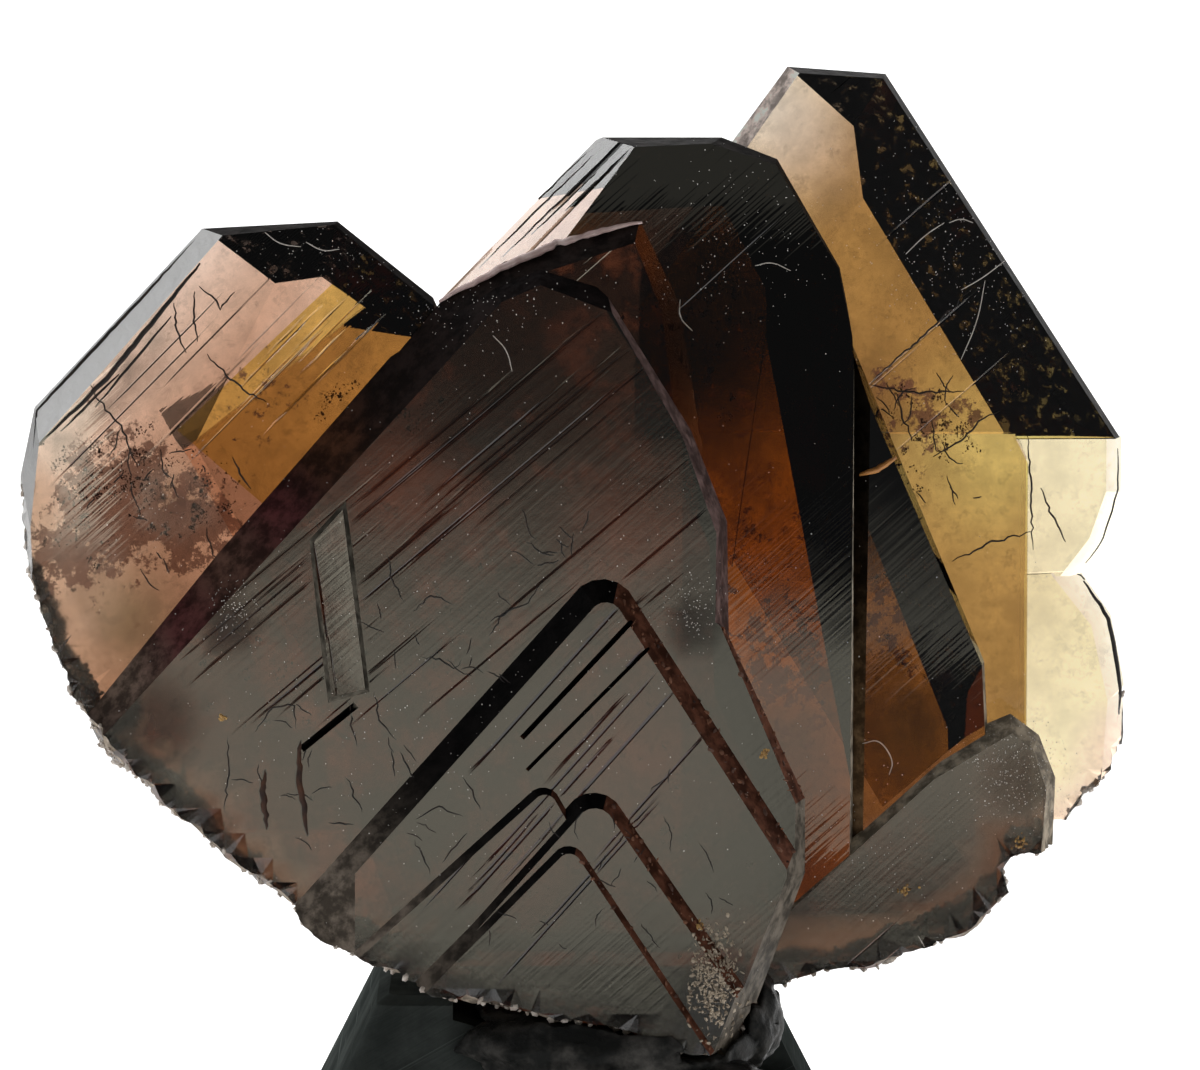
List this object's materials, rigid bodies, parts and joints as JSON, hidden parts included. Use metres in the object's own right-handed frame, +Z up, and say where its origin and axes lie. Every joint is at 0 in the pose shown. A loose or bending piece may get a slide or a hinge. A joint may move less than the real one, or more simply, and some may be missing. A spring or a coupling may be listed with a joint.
{
  "type": "axinite crystal group on a display stand",
  "caption": "Clear brown axe-shaped axinite crystals grown together, with a broken base set in dark putty on a black square display stand.",
  "frame": {"origin": "middle of the stand's underside, on the surface it rests on", "axes": "+Z up; -Y is the front of the specimen as pictured; +X to the viewer's right"},
  "size_m": [0.0462, 0.0266, 0.0498],
  "materials": {
    "crystal": "clear",
    "stand": "satin",
    "putty": "soft"
  },
  "bodies": {
    "root": {"crystal": "crystal", "stand": "stand", "putty": "putty"}
  },
  "joints": []
}
